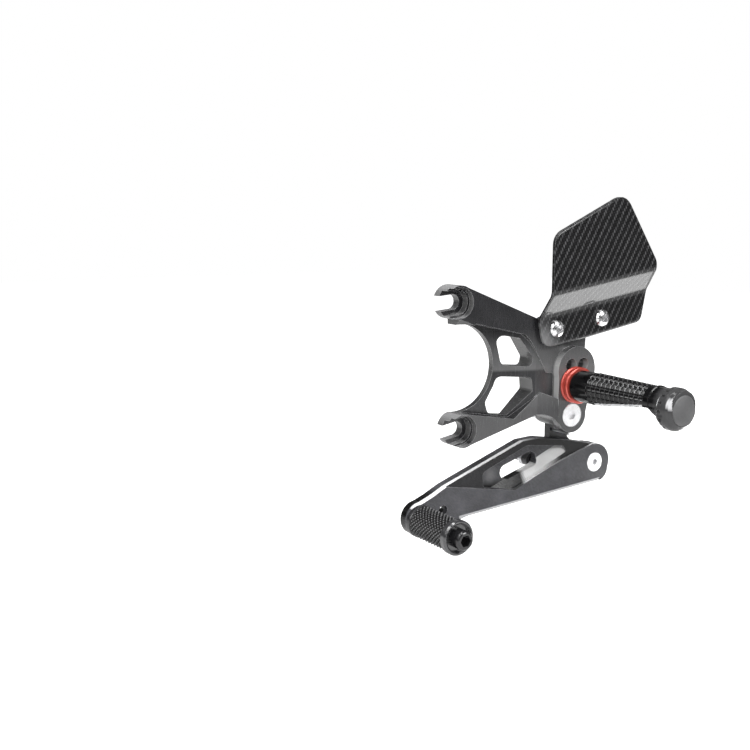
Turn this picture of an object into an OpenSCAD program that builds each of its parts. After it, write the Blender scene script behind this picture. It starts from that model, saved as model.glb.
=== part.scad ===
// Rear-set footrest, gear-change side: pocketed hanger plate on two open forks, toothed footpeg,
// heel guard and a swinging change lever with a knurled toe peg.
// Millimetres. X points rearward, Y inboard and Z up.
// The origin is on the upper fork's bolt axis, at the plate's inner mounting face.

// Which node to draw, or all of them

/* [Plate] */
// Thickness of the arms, from the mounting face to the outer face
plate_thick = 14; // [11:0.5:18]
// Thickness of the web at the rim of the bay; its floor rises from there towards the peg
web_thick = 4; // [3:0.5:6]
// How far the peg pad and the pivot ear stand out from the arms
pad_proud = 5; // [3:0.5:8]
// Distance between the two fork bolts, straight down
fork_spacing = 75.2; // [60:0.1:95]
// How far the lower fork sits rearward of the upper one
fork_offset = 3.4; // [0:0.1:6]
// Radius of the round end of each fork
fork_end_r = 10; // [9.6:0.2:13]
// Radius of the bolt slot in each fork, clearance for an M8 bolt
fork_slot_r = 4.5; // [3.2:0.1:5.5]
// Radius and depth of the wide step round each fork's slot
fork_step_r = 8.9; // [7.5:0.1:9]
fork_step_deep = 4; // [2:0.5:5]
// Radius and depth of the narrow step round each fork's slot
fork_seat_r = 7.5; // [6:0.1:8]
fork_seat_deep = 8.5; // [6:0.5:9.5]
// Radius of the round bay between the forks
bay_r = 26.4; // [20:0.1:28]
// Radius of the corners of the windows
window_corner_r = 4; // [1.5:0.5:5]

/* [Footpeg] */
// Peg axis, rearward of the upper fork and below it
peg_x = 82.3; // [78:0.1:86]
peg_drop = 53.4; // [52:0.1:56]
// Radius of the round pad that carries the peg
pad_r = 14.7; // [13:0.1:16]
// Radius of the smooth barrel next to the collar
peg_barrel_r = 9.6; // [8:0.1:10.5]
// Length of the peg from the pad to its end disc
peg_length = 89; // [75:1:110]
// Number of tooth rings along the grip
tooth_rings = 12; // [8:1:16]
// Number of grooves that cut the rings into teeth
tooth_rows = 16; // [10:1:24]
// Radius of the round knob at the peg's end
knob_r = 12; // [9:0.1:14]
// How far the knob's centre drops below the peg axis
knob_drop = 2.2; // [0:0.1:3]

/* [Lever] */
// Lever pivot, rearward of the upper fork and below it
pivot_x = 81.6; // [80:0.1:86]
pivot_drop = 72.5; // [72:0.1:76]
// Radius of the plate's ear round the pivot
ear_r = 11; // [10:0.1:13]
// Thickness of the ear
ear_thick = 6.2; // [5:0.1:7]
// Radius of the arm's hub
hub_r = 9; // [8.6:0.1:9.4]
// Thickness of the lever
lever_thick = 9.5; // [8:0.5:11]
// Thickness of the arm that hangs from the hub
arm_thick = 5; // [4:0.5:7]
// Radius of the lever's rear boss
lever_boss_r = 12; // [10.5:0.1:13.5]
// Length of the toe peg, its collar and cap included
toe_length = 39.5; // [30:0.5:50]
// Radius of the toe peg over its knurl
toe_r = 9.5; // [8:0.1:11]

/* [Heel guard] */
// Thickness of the carbon sheet
guard_thick = 2; // [1.2:0.1:3]
// Thickness of the spacers behind it
guard_gap = 2; // [1:0.5:5]
// How far the upper panel stands out from the lower flange
guard_joggle = 9.5; // [6:0.5:12]
// Tilt of the fold lines in degrees
guard_tilt = 9; // [4:1:14]

/* [Fits] */
// Radial gap of a screw in its thread or its hole
screw_gap = 0.05; // [0.05:0.01:0.3]
// Radial gap of the bushes on the pivot sleeve
bush_gap = 0.03; // [0.01:0.01:0.1]
// Gap between the swinging hub and the faces beside it
side_gap = 0.3; // [0.2:0.05:0.6]

/* [Hidden] */
eps = 0.01;
$fn = 64;

// Heights along Y, from the mounting face at zero to the outer faces
face_y = -plate_thick;
web_y = -web_thick;
web_top_y = face_y + 0.8;
pad_y = face_y - pad_proud;
ear_in_y = pad_y + ear_thick;

// Fork axes in X and Z
upper_fork = [0, 0];
lower_fork = [fork_offset, -fork_spacing];
upper_slot_tilt = 5;
lower_slot_tilt = 10;
bay_centre = (upper_fork + lower_fork) / 2 + [3, -1.7];

peg_axis = [peg_x, -peg_drop];
pivot = [pivot_x, -pivot_drop];
pad_centre = [peg_x + 2.2, -peg_drop + 8.7];
pad_left = pad_centre[0] - pad_r + 0.4;

// Fork distance and pivot place that the outlines below are drawn for
drawn_spacing = 75.2;
drawn_pivot = [81.6, -72.5];

// Where the pocket floor starts to rise from the web, and where it ends just under the arms' face
web_rise_x = 31;
web_top_x = 57;

// Alternative peg positions, one row above the peg in use
peg_hole_r = 4.1;
spare_holes = [[peg_x - 2.4, -peg_drop + 12], [peg_x + 7.1, -peg_drop + 12]];

// Recess in the mounting face that takes the peg bolt's head and washer
peg_recess_r = 7;
peg_recess_deep = 10;

// Fasteners
m8_r = 4;
m8_head_high = 8;
m6_r = 3;
m5_r = 2.5;
pivot_head_r = 7.4;
lever_head_r = 6.3;
flat_head_deep = 3.9;
flat_rim = 0.8;
head_gap = 0.15;

// Guard screws in X and Z
guard_ear_r = 6.5;
guard_front = [67.8, -18.2];
guard_rear = [104.1, -13.4];
guard_back_y = face_y - guard_gap;
guard_face_y = guard_back_y - guard_thick;
guard_screw_long = 12;
guard_thread_deep = 9;

// Footpeg stations, measured outboard from the pad
collar_long = 6;
collar_r = 10.4;
bead_r = 0.9;
barrel_end = 20.5;
grip_end = peg_length - 25;
flare_end = peg_length - 13.5;
rim_start = peg_length - 11;
rim_end = peg_length - 6.5;
grip_r_in = 9.9;
grip_r_out = 8.8;
tooth_deep = 1.3;
flat_in = 9.4;
flat_out = 3.1;
rim_notches = 16;
end_cap_r = 8.6;
end_cap_thick = 2;
peg_bolt_deep = 27;

// Lever unit along Y
hub_out_y = ear_in_y + side_gap;
lever_in_y = 1.5;
lever_out_y = lever_in_y - lever_thick;
arm_out_y = lever_in_y;
arm_in_y = arm_out_y + arm_thick;
sleeve_r = 6;
sleeve_in_y = arm_in_y + side_gap;
hub_bore_r = 7.5;
bush_long = 7;
washer_thick = 1.6;
nut_high = 6.5;
nut_across = 13;
relief_r = hub_r + 1.3;

lever_rear = pivot + [30.3, -35.6];
lever_toe = pivot + [-102.1, -54.3];
toe_axis = pivot + [-104.9, -54];
toe_spare = pivot + [-88.4, -50.3];
lever_toe_r = 10.2;
facet_deep = 1.2;
lever_pocket_deep = 5;
slot_r = 4.7;
link = pivot + [-14.3, -30.5];
link_r = 4.4;
arm_fix = pivot + [9, -38];

// Toe peg stations, measured outboard from the lever's face
toe_collar_long = 3.5;
toe_cap_long = 4.5;
knurl_long = toe_length - toe_collar_long - toe_cap_long;
toe_recess_deep = 2.5;
toe_head_high = 8.5;

// A drawn plate point, moved with the forks: fully at the forks, and not at all from the peg on
function with_forks(p) =
    let (part = max(0, min(1, 1 - p[0] / 60)))
    [p[0], p[1] * (1 + part * (fork_spacing / drawn_spacing - 1)), p[2]];

// Drawn lever points, moved with the pivot
function with_pivot(pts) = [for (p = pts) [p[0] + pivot[0] - drawn_pivot[0], p[1] + pivot[1] - drawn_pivot[1], p[2]]];

// Points of an arc from one angle to another
function arc(c, r, a, b, n) = [for (i = [0 : n]) c + r * [cos(a + (b - a) * i / n), sin(a + (b - a) * i / n)]];

// One rounded corner of a polygon: the corner p between its neighbours a and b
function corner(a, p, b, r, n = 5) =
    let (u = (a - p) / norm(a - p), v = (b - p) / norm(b - p))
    let (half = acos(max(-1, min(1, u * v))) / 2)
    let (c = p + (u + v) / norm(u + v) * r / sin(half))
    let (s = p + u * r / tan(half) - c, e = p + v * r / tan(half) - c)
    let (start = atan2(s[1], s[0]), turn = atan2(s[0] * e[1] - s[1] * e[0], s * e))
    r <= 0 || half > 89 ? [p] : arc(c, r, start, start + turn, n);

// A polygon with its corners rounded, each point given as x, z, radius
function rounded(pts) = [
    for (i = [0 : len(pts) - 1])
        let (k = len(pts))
        let (a = pts[(i + k - 1) % k], p = pts[i], b = pts[(i + 1) % k])
        each corner([a[0], a[1]], [p[0], p[1]], [b[0], b[1]], p[2])
];

// Extrudes a shape drawn in X and Z between two heights along Y
module slab(y_out, y_in) {
    translate([0, y_in, 0]) rotate([90, 0, 0]) linear_extrude(y_in - y_out) children();
}

// A frame on an axis in X and Z whose own z runs outboard from a height along Y
module outboard(at, y) {
    translate([at[0], y, at[1]]) rotate([90, 0, 0]) children();
}

// A round bar along Y
module bar(at, r, y_out, y_in) {
    outboard(at, y_in) cylinder(r = r, h = y_in - y_out);
}

// A round bar that runs open to the left, for a fork; its straight sides meet the round a little inside
module open_bar(at, r, tilt, y_out, y_in) {
    half = r * cos(10);
    outboard(at, y_in) {
        cylinder(r = r, h = y_in - y_out);
        rotate([0, 0, tilt]) translate([-2 * fork_end_r, -half, 0]) cube([2 * fork_end_r, 2 * half, y_in - y_out]);
    }
}

// A washer or a bush: a bar with a hole
module ring(at, r, hole_r, y_out, y_in) {
    difference() {
        bar(at, r, y_out, y_in);
        bar(at, hole_r, y_out - 1, y_in + 1);
    }
}

// A hexagonal recess or nut, drawn by its width across flats
module hex(across, h) {
    cylinder(r = across / sqrt(3), h = h, $fn = 6);
}

// The plate's outline seen from the outer side, as a solid between two heights
module plate_outline(y_out, y_in) {
    difference() {
        union() {
            slab(y_out, y_in) polygon(rounded([
                [fork_end_r * 0.38, fork_end_r * 0.91, 0],
                [69.6, -17, 0], [guard_rear[0] - 1, guard_rear[1] + guard_ear_r - 0.3, 0],
                [guard_rear[0] + 5.5, guard_rear[1] - 3.6, 0], [95.5, -24, 3], [95, -33, 0],
                [pad_centre[0] + pad_r * 0.9, pad_centre[1] + 4, 0], [pad_centre[0] + pad_r * 0.96, pad_centre[1] - 2, 0],
                [pivot[0] + ear_r * 0.95, pivot[1] + 2, 0],
                [pivot[0] - 5, pivot[1] - 9.6, 0], [pivot[0] - 10.6, pivot[1] - 8, 0], [60.5, -72, 0],
                with_forks([58, -70.75, 0]),
                [lower_fork[0] + fork_end_r * 0.22, lower_fork[1] - fork_end_r * 0.945, 0],
                [lower_fork[0], lower_fork[1], 0], [upper_fork[0], upper_fork[1], 0]
            ]));
            bar(upper_fork, fork_end_r, y_out, y_in);
            bar(lower_fork, fork_end_r, y_out, y_in);
            bar(guard_rear, guard_ear_r, y_out, y_in);
            bar(pad_centre, pad_r, y_out, y_in);
            bar(pivot, ear_r, y_out, y_in);
        }
        bar(bay_centre, bay_r, y_out - 1, y_in + 1);
        bar([60.5, -82.5], 11.7, y_out - 1, y_in + 1);
    }
}

// Outline of the pocket milled in the outer side, open to the bay
module pocket_outline() {
    polygon(rounded([for (p = [
        [11, -12.6, 0], [47.5, -20.9, 3], [52.4, -25.6, 5], [60.5, -38.8, 6], [64.6, -45.4, 2],
        [pad_left, -46, 1.5], [pad_left, -61.3, 1.5], [59.9, -57.3, 3],
        [40.2, -71.6, 3], [7.5, -65.8, 0], [-14, -62.2, 0], [-14, -30, 0]
    ]) with_forks(p)]));
}

// The pocket: its floor is the thin web at the bay and rises towards the peg
module pocket() {
    intersection() {
        slab(face_y - 1, 0) pocket_outline();
        translate([0, 0, -1.5 * fork_spacing]) linear_extrude(1.5 * fork_spacing) polygon([
            [-40, face_y - 2], [pad_left + 10, face_y - 2], [pad_left + 10, web_top_y],
            [web_top_x, web_top_y], [web_rise_x, web_y], [-40, web_y]
        ]);
    }
}

// Bevel under the upper arm, from the fork to the pocket
module arm_bevel() {
    translate([-11, 0, -4.3]) rotate([0, 20.2, 0]) rotate([90, 0, 90]) linear_extrude(27.5)
        polygon([[face_y - 1, -1.2], [face_y, -1.2], [face_y + 6, -4], [face_y + 6, -14], [face_y - 1, -14]]);
}

module upper_window() {
    polygon(rounded([for (p = [
        [32, -20.9, window_corner_r], [36, -39.6, window_corner_r], [54, -41.2, window_corner_r * 0.7],
        [54.9, -35.6, 2.5], [46.8, -23.5, 2]
    ]) with_forks(p)]));
}

module lower_window() {
    polygon(rounded([for (p = [
        [33.4, -46.4, window_corner_r], [54.4, -47.6, window_corner_r * 0.7], [55.2, -56, 2],
        [39.6, -70.3, 1.5], [28, -68.9, window_corner_r], [25.6, -61.8, window_corner_r],
        [31.4, -52.6, 8]
    ]) with_forks(p)]));
}

// Raised pad round the peg, run down into the ear
module pad() {
    bar(pad_centre, pad_r, pad_y, face_y + 1);
    bar(pivot, ear_r, pad_y, face_y + 1);
    slab(pad_y, face_y + 1) polygon([
        [pad_left, pad_centre[1]], [pad_centre[0] + pad_r - 0.4, pad_centre[1]],
        [pivot[0] + ear_r - 0.4, pivot[1]], [pivot[0] - ear_r + 0.4, pivot[1]], [pad_left, pivot[1] + 11]
    ]);
}

module hanger_plate() {
    color([0.05, 0.05, 0.055])
    difference() {
        union() {
            difference() {
                plate_outline(face_y, 0);
                pocket();
                arm_bevel();
                slab(face_y - 1, 1) upper_window();
                slab(face_y - 1, 1) lower_window();
            }
            pad();
            // Lug for the front guard screw, on the outer side only
            bar(guard_front, guard_ear_r, face_y, face_y + guard_thread_deep + 1);
            // The lower arm's face ramps up to the pad
            intersection() {
                plate_outline(pad_y, face_y + 1);
                translate([0, 0, -82]) linear_extrude(30) polygon([
                    [56, face_y + 1], [58, face_y], [pad_left + 1.2, pad_y - 0.3], [pad_left + 1.2, face_y + 1]
                ]);
                slab(pad_y - 1, face_y + 2) polygon([[52, -62.7], [59.9, -57], [73, -62.4], [73, -84], [52, -84]]);
            }
        }
        // Forks: bolt slot, narrow seat and wide step, all open to the left
        for (fork = [[upper_fork, upper_slot_tilt], [lower_fork, lower_slot_tilt]]) {
            open_bar(fork[0], fork_slot_r, fork[1], face_y - 1, 1);
            open_bar(fork[0], fork_seat_r, fork[1], face_y - 1, face_y + fork_seat_deep);
            open_bar(fork[0], fork_step_r, fork[1], face_y - 1, face_y + fork_step_deep);
        }
        // Peg bolt hole and the spare positions, each recessed from the inner side
        for (at = concat([peg_axis], spare_holes)) {
            bar(at, peg_hole_r, pad_y - 1, 1);
            bar(at, peg_recess_r, -peg_recess_deep, 1);
        }
        // Guard screw threads
        for (at = [guard_front, guard_rear]) bar(at, m6_r + screw_gap, face_y - 1, face_y + guard_thread_deep);
        // Pivot bolt hole with its countersink
        countersink(pivot, m8_r + screw_gap, pivot_head_r + head_gap, flat_head_deep, pad_y, ear_in_y + 1);
        // Room behind the ear for the swinging hub and its neck
        bar(pivot, relief_r, ear_in_y, 1);
        slab(ear_in_y, 1) polygon([
            [pivot[0] - relief_r, pivot[1]], [pivot[0] + 30, pivot[1] + relief_r - 1],
            [pivot[0] + 30, pivot[1] - 30], [pivot[0] - relief_r, pivot[1] - 30]
        ]);
    }
}

module peg_collar() {
    color([0.65, 0.03, 0.02])
    outboard(peg_axis, pad_y)
    difference() {
        union() {
            cylinder(r = collar_r, h = collar_long);
            for (z = [bead_r, collar_long - bead_r])
                translate([0, 0, z]) rotate_extrude() translate([collar_r, 0]) circle(bead_r, $fn = 24);
        }
        translate([0, 0, -1]) cylinder(r = peg_hole_r, h = collar_long + 2);
    }
}

function grip_r(t) = grip_r_in + (grip_r_out - grip_r_in) * t;

module footpeg() {
    ring_long = (grip_end - barrel_end) / tooth_rings;
    color([0.02, 0.02, 0.022])
    outboard(peg_axis, pad_y)
    difference() {
        union() {
            // Smooth barrel
            translate([0, 0, collar_long]) cylinder(r1 = peg_barrel_r - 0.8, r2 = peg_barrel_r, h = 0.8);
            translate([0, 0, collar_long + 0.8]) cylinder(r = peg_barrel_r, h = barrel_end - collar_long - 2.3);
            translate([0, 0, collar_long + 1]) cylinder(r = peg_barrel_r - 0.7, h = barrel_end - collar_long);
            // Toothed grip
            difference() {
                rotate_extrude() polygon(concat(
                    [[0, barrel_end], [grip_r_in - tooth_deep, barrel_end]],
                    [for (i = [0 : tooth_rings - 1]) each [
                        [grip_r((i + 0.1) / tooth_rings), barrel_end + (i + 0.1) * ring_long],
                        [grip_r((i + 0.5) / tooth_rings), barrel_end + (i + 0.5) * ring_long],
                        [grip_r((i + 1) / tooth_rings) - tooth_deep, barrel_end + (i + 1) * ring_long]
                    ]],
                    [[0, grip_end]]
                ));
                for (i = [0 : tooth_rows - 1])
                    rotate([0, 0, i * 360 / tooth_rows])
                        translate([grip_r_in + 0.25, 0, barrel_end - 1])
                            rotate([0, -atan((grip_r_in - grip_r_out) / (grip_end - barrel_end)), 0])
                                linear_extrude(grip_end - barrel_end + 3)
                                    polygon([[-1.35, 0], [0.6, -1], [0.6, 1]]);
            }
            // Neck in line with the grip, with a fine bead, up to the knob's rim
            rotate_extrude() polygon([
                [0, grip_end - 3], [grip_r_out - 1, grip_end - 3], [grip_r_out - 0.2, grip_end],
                [grip_r_out, grip_end + 4.2], [grip_r_out + 0.5, grip_end + 5], [grip_r_out - 0.1, grip_end + 5.5],
                [grip_r_out, flare_end], [0, flare_end]
            ]);
            // Flare and knob, turned about their own lower axis
            translate([0, -knob_drop, 0]) rotate_extrude() polygon([
                [0, grip_end + 2], [5, grip_end + 2], [7.7, grip_end + 6], [8.9, grip_end + 8.5],
                [knob_r - 1.3, flare_end - 0.4], [knob_r - 1.1, flare_end], [knob_r - 1.8, flare_end + 1.2],
                [knob_r - 0.1, rim_start], [knob_r, rim_start + 0.8], [knob_r, rim_end - 1],
                [knob_r - 0.3, rim_end + 0.3], [knob_r - 1, rim_end + 2.3], [knob_r - 2.1, peg_length - 1.9],
                [end_cap_r + 0.6, peg_length - 0.6], [end_cap_r + 0.3, peg_length - 0.4], [0, peg_length - 0.4]
            ]);
        }
        // Notches round the knob's rim
        for (i = [0 : rim_notches - 1])
            translate([0, -knob_drop, rim_start - 2.5]) rotate([0, 0, (i + 0.5) * 360 / rim_notches])
                translate([knob_r + 0.3, 0, 0]) linear_extrude(4.5) polygon([[-1.3, -0.2], [0.8, -1.3], [0.8, 1.3], [-1.3, 0.2]]);
        // Underside cut flat, running out at the flare
        translate([-20, 0, 0]) rotate([90, 0, 90]) linear_extrude(40) polygon([
            [-flat_in, barrel_end - 0.6], [-flat_out, grip_end], [-flat_out - 7.4, grip_end + 6.5],
            [-30, grip_end + 6.5], [-30, barrel_end - 0.6]
        ]);
        // Seat of the end disc
        translate([0, -knob_drop, peg_length - end_cap_thick]) cylinder(r = end_cap_r + screw_gap, h = 5);
        // Thread for the peg bolt
        cylinder(r = m8_r + screw_gap, h = peg_bolt_deep);
    }
}

module footpeg_end_cap() {
    color([0.35, 0.35, 0.36])
    outboard(peg_axis + [0, -knob_drop], pad_y - peg_length + end_cap_thick) {
        cylinder(r = end_cap_r, h = end_cap_thick - 0.5);
        translate([0, 0, end_cap_thick - 0.5]) cylinder(r1 = end_cap_r, r2 = end_cap_r - 0.5, h = 0.5);
    }
}

module footpeg_bolt() {
    head_y = washer_thick - peg_recess_deep;
    color([0.7, 0.7, 0.72])
    difference() {
        union() {
            bar(peg_axis, m8_r, pad_y - peg_bolt_deep + 1, head_y + eps);
            bar(peg_axis, 6.5, head_y, head_y + m8_head_high);
        }
        outboard(peg_axis, head_y + m8_head_high + 1) hex(6, 5);
    }
}

module footpeg_washer() {
    color([0.7, 0.7, 0.72])
    ring(peg_axis, peg_recess_r - 0.2, m8_r + 0.2, -peg_recess_deep, washer_thick - peg_recess_deep);
}

// Outline of the heel guard seen from the outer side
module guard_outline() {
    polygon(rounded([
        [57.1, 38.2, 9], [111.6, 62.9, 10], [140.2, 21.3, 8], [141.6, 2, 12], [137.6, -17.4, 6],
        [92.4, -25.1, 0], [58.5, -29.5, 7], [55.3, -13, 12], [57.1, 5, 12]
    ]));
}

module guard_sheet() {
    top = -5.5;
    bottom = -20.2;
    out_y = guard_face_y - guard_joggle;
    rotate([0, -guard_tilt, 0]) translate([30, 0, 0]) rotate([90, 0, 90]) linear_extrude(140) polygon([
        [guard_face_y, -60], [guard_face_y, bottom - 1], [guard_face_y - 0.6, bottom + 1.2],
        [out_y + 0.6, top - 1.2], [out_y, top + 1], [out_y, 60],
        [out_y + guard_thick, 60], [out_y + guard_thick, top + 0.5], [out_y + guard_thick + 0.6, top - 1.7],
        [guard_back_y - 0.6, bottom + 0.7], [guard_back_y, bottom - 1.5], [guard_back_y, -60]
    ]);
}

module heel_guard() {
    color([0.08, 0.08, 0.085])
    difference() {
        intersection() {
            guard_sheet();
            slab(guard_face_y - guard_joggle - 5, 0) guard_outline();
        }
        for (at = [guard_front, guard_rear]) bar(at, m6_r + 0.2, guard_face_y - 1, 0);
    }
}

module guard_spacer(at) {
    color([0.04, 0.04, 0.045]) ring(at, 6, m6_r + 0.2, guard_back_y, face_y);
}
module guard_spacer_front() { guard_spacer(guard_front); }
module guard_spacer_rear() { guard_spacer(guard_rear); }

// A button-head screw whose head sits at a height along Y
module button_screw(at, y, long) {
    difference() {
        union() {
            bar(at, m6_r, y - eps, y + long);
            outboard(at, y) {
                cylinder(r = 5.25, h = 1.2);
                translate([0, 0, 1.2]) cylinder(r1 = 5.25, r2 = 4.5, h = 1.1);
                translate([0, 0, 2.3]) cylinder(r1 = 4.5, r2 = 2.9, h = 1);
            }
        }
        outboard(at, y) translate([0, 0, 1.3]) hex(4, 4);
    }
}
module guard_screw_front() { color([0.8, 0.8, 0.82]) button_screw(guard_front, guard_face_y, guard_screw_long); }
module guard_screw_rear() { color([0.8, 0.8, 0.82]) button_screw(guard_rear, guard_face_y, guard_screw_long); }

// A countersunk screw, its flat head level with a height along Y
module flat_screw(at, r, head_r, head_deep, y, y_end, socket) {
    difference() {
        outboard(at, y_end) rotate_extrude() polygon([
            [0, 0], [r, 0], [r, y_end - y - head_deep], [head_r, y_end - y - flat_rim],
            [head_r, y_end - y - 0.3], [head_r - 0.3, y_end - y], [0, y_end - y]
        ]);
        outboard(at, y + 2.4) hex(socket, 5);
    }
}

// The hole of a countersunk screw
module countersink(at, r, head_r, head_deep, y, y_end) {
    outboard(at, y_end) rotate_extrude() polygon([
        [0, 0], [r, 0], [r, y_end - y - head_deep], [head_r, y_end - y - flat_rim],
        [head_r, y_end - y + 1], [0, y_end - y + 1]
    ]);
}

module pivot_bolt() {
    color([0.8, 0.8, 0.82])
    flat_screw(pivot, m8_r, pivot_head_r, flat_head_deep, pad_y, sleeve_in_y + washer_thick + nut_high + 1.5, 5);
}

module pivot_sleeve() {
    color([0.75, 0.75, 0.77]) ring(pivot, sleeve_r, m8_r + 0.1, ear_in_y, sleeve_in_y);
}

module pivot_washer() {
    color([0.7, 0.7, 0.72]) ring(pivot, 8.5, m8_r + 0.2, sleeve_in_y, sleeve_in_y + washer_thick);
}

module pivot_nut() {
    nut_y = sleeve_in_y + washer_thick;
    color([0.7, 0.7, 0.72])
    difference() {
        outboard(pivot, nut_y + nut_high) hex(nut_across, nut_high);
        bar(pivot, m8_r + screw_gap, nut_y - 1, nut_y + nut_high + 1);
    }
}

// Lever before its pockets and holes
module lever_blank() {
    bar(lever_rear, lever_boss_r, lever_out_y, lever_in_y);
    bar(lever_toe, lever_toe_r, lever_out_y, lever_in_y);
    slab(lever_out_y, lever_in_y) polygon(rounded(concat(
        [[lever_toe[0] - 3.9, lever_toe[1] + 9, 0]],
        with_pivot([[-14.3, -113.7, 12], [-4.5, -108.9, 12], [53, -88.1, 6], [66, -87.4, 10], [89.5, -91.3, 0]]),
        [[lever_rear[0] + 1.5, lever_rear[1] + lever_boss_r - 0.6, 0], [lever_rear[0] + lever_boss_r - 0.5, lever_rear[1] + 0.8, 0]],
        with_pivot([[122.6, -120.4, 8], [12.9, -129.3, 20]]),
        [[lever_toe[0] + 3.4, lever_toe[1] - 9.1, 0]]
    )));
}

// Chamfer along the lever's bottom edge
module lever_chamfer() {
    low = with_pivot([[5, -129.9, 0]])[0];
    translate([low[0], 0, low[1]]) rotate([0, -4.64, 0]) rotate([90, 0, 90]) linear_extrude(112)
        polygon([[lever_out_y - 1, -6], [lever_out_y - 1, 2.6], [lever_out_y, 2], [lever_out_y + 1.7, -0.4], [lever_out_y + 1.7, -6]]);
}

// Edge between the lever's outer face and the lower facet above it
facet_line = with_pivot([[-30, -104.5, 0], [27.7, -114.5, 0], [46.9, -117.2, 0], [82.6, -103.9, 0], [109.2, -96, 0]]);

module lever_pocket_outline() {
    polygon(rounded(with_pivot([
        [56.6, -91.1, 8], [87.3, -94.6, 4], [88, -102.7, 1.5], [51.6, -118.7, 3],
        [23.6, -113.7, 2.5], [22.6, -104, 3]
    ])));
}

// Slot through the lever; its straight sides meet its round ends a little inside
module lever_slot() {
    a = pivot + [-38.1, -34.4];
    b = pivot + [-19.4, -28.4];
    lean = atan2(b[1] - a[1], b[0] - a[0]);
    half = slot_r * cos(10);
    bar(a, slot_r, lever_out_y - 1, lever_in_y + 1);
    bar(b, slot_r, lever_out_y - 1, lever_in_y + 1);
    outboard(a, lever_in_y + 1) rotate([0, 0, lean]) translate([0, -half, 0])
        cube([norm(b - a), 2 * half, lever_thick + 2]);
}

module shift_lever() {
    ramp_at = pivot + [-34.7, -44.7];
    ramp_lean = 22.5;
    pocket_y = lever_out_y + lever_pocket_deep;
    color([0.05, 0.05, 0.055])
    difference() {
        lever_blank();
        lever_chamfer();
        // Lower facet along the top edge
        slab(lever_out_y - 1, lever_out_y + facet_deep) polygon([
            for (p = concat(facet_line, [pivot + [38, -7], pivot + [-111, -7]])) [p[0], p[1]]
        ]);
        // Pocket round the slot, with a ramp along its lower side
        difference() {
            slab(lever_out_y - 1, pocket_y) lever_pocket_outline();
            translate([ramp_at[0], 0, ramp_at[1]]) rotate([0, -ramp_lean, 0]) translate([-30, 0, 0])
                rotate([90, 0, 90]) linear_extrude(90) polygon([
                    [pocket_y + 1, -30], [lever_out_y - 2, -30], [lever_out_y - 2, -3.9],
                    [pocket_y + 1, 9.2]
                ]);
        }
        lever_slot();
        // Lightening pocket in the hidden inner side of the toe half
        slab(lever_in_y - 3, lever_in_y + 1) polygon(rounded(with_pivot([
            [-8, -114.5, 2], [17, -105.5, 2], [21, -120.5, 2], [-4, -124.5, 2]
        ])));
        // Rear bolt, arm screw and toe screw
        countersink(lever_rear, m6_r + 0.1, lever_head_r + head_gap, flat_head_deep, lever_out_y, lever_in_y + 1);
        bar(arm_fix, m6_r + screw_gap, lever_out_y + 2, lever_in_y + 1);
        bar(toe_axis, m6_r + screw_gap, lever_out_y - 1, lever_in_y + 1);
        bar(toe_spare, m6_r + screw_gap, lever_out_y - 1, lever_in_y + 1);
    }
}

// The arm behind the lever, before its holes
module arm_blank() {
    bar(pivot, hub_r, hub_out_y, arm_in_y);
    bar(lever_rear, lever_boss_r - 0.5, arm_out_y, arm_in_y);
    bar(link, link_r, arm_out_y, arm_in_y);
    slab(arm_out_y, arm_in_y) polygon(rounded([
        [pivot[0] - 0.1, pivot[1], 0], [pivot[0] - 0.1, pivot[1] - 19.5, 2], [link[0] - 0.8, link[1] + link_r - 0.4, 0],
        [link[0] + 1.5, link[1] - link_r + 0.6, 0], [pivot[0] + 4.4, pivot[1] - 41, 6],
        [lever_rear[0] - 2, lever_rear[1] - lever_boss_r + 1.3, 0],
        [lever_rear[0] + 5, lever_rear[1] + lever_boss_r - 2.3, 0], [pivot[0] + 18.4, pivot[1] - 22.5, 2],
        [pivot[0] + 14.4, pivot[1] - 18.5, 4], [pivot[0] + 14, pivot[1] - 7.5, 4],
        [pivot[0] + hub_r - 0.8, pivot[1] + 1, 0]
    ]));
}

module lever_arm() {
    color([0.05, 0.05, 0.055])
    difference() {
        arm_blank();
        bar(pivot, hub_bore_r, hub_out_y - 1, hub_out_y + bush_long);
        bar(pivot, hub_bore_r, arm_in_y - bush_long, arm_in_y + 1);
        bar(pivot, hub_bore_r - 0.8, hub_out_y - 1, arm_in_y + 1);
        bar(lever_rear, m6_r + screw_gap, arm_out_y - 1, arm_in_y + 1);
        bar(arm_fix, m6_r + 0.2, arm_out_y - 1, arm_in_y + 1);
        bar(link, m5_r + screw_gap, arm_out_y - 1, arm_in_y + 1);
        bar([pivot[0] + 2.3, pivot[1] - 13], 0.85 + screw_gap, arm_out_y - 1, arm_in_y - 1.5);
    }
}

module hub_bush(y_out) {
    color([0.6, 0.45, 0.2]) ring(pivot, hub_bore_r - screw_gap, sleeve_r + bush_gap, y_out, y_out + bush_long);
}
module hub_bush_outer() { hub_bush(hub_out_y); }
module hub_bush_inner() { hub_bush(arm_in_y - bush_long); }

module lever_bolt() {
    color([0.8, 0.8, 0.82]) flat_screw(lever_rear, m6_r, lever_head_r, flat_head_deep, lever_out_y, arm_in_y + 0.5, 4);
}

module arm_screw() {
    color([0.7, 0.7, 0.72])
    translate([0, 2 * arm_in_y, 0]) mirror([0, 1, 0]) button_screw(arm_fix, arm_in_y, arm_thick + lever_thick - 3);
}

module linkage_stud() {
    color([0.03, 0.03, 0.03])
    difference() {
        union() {
            bar(link, m5_r, arm_out_y, arm_in_y + eps);
            bar(link, m5_r, arm_in_y, arm_in_y + 5);
            bar(link, 3, arm_in_y + 5 - eps, arm_in_y + 17);
        }
        outboard(link, arm_out_y + 2.5) hex(2.5, 5);
    }
}

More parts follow.
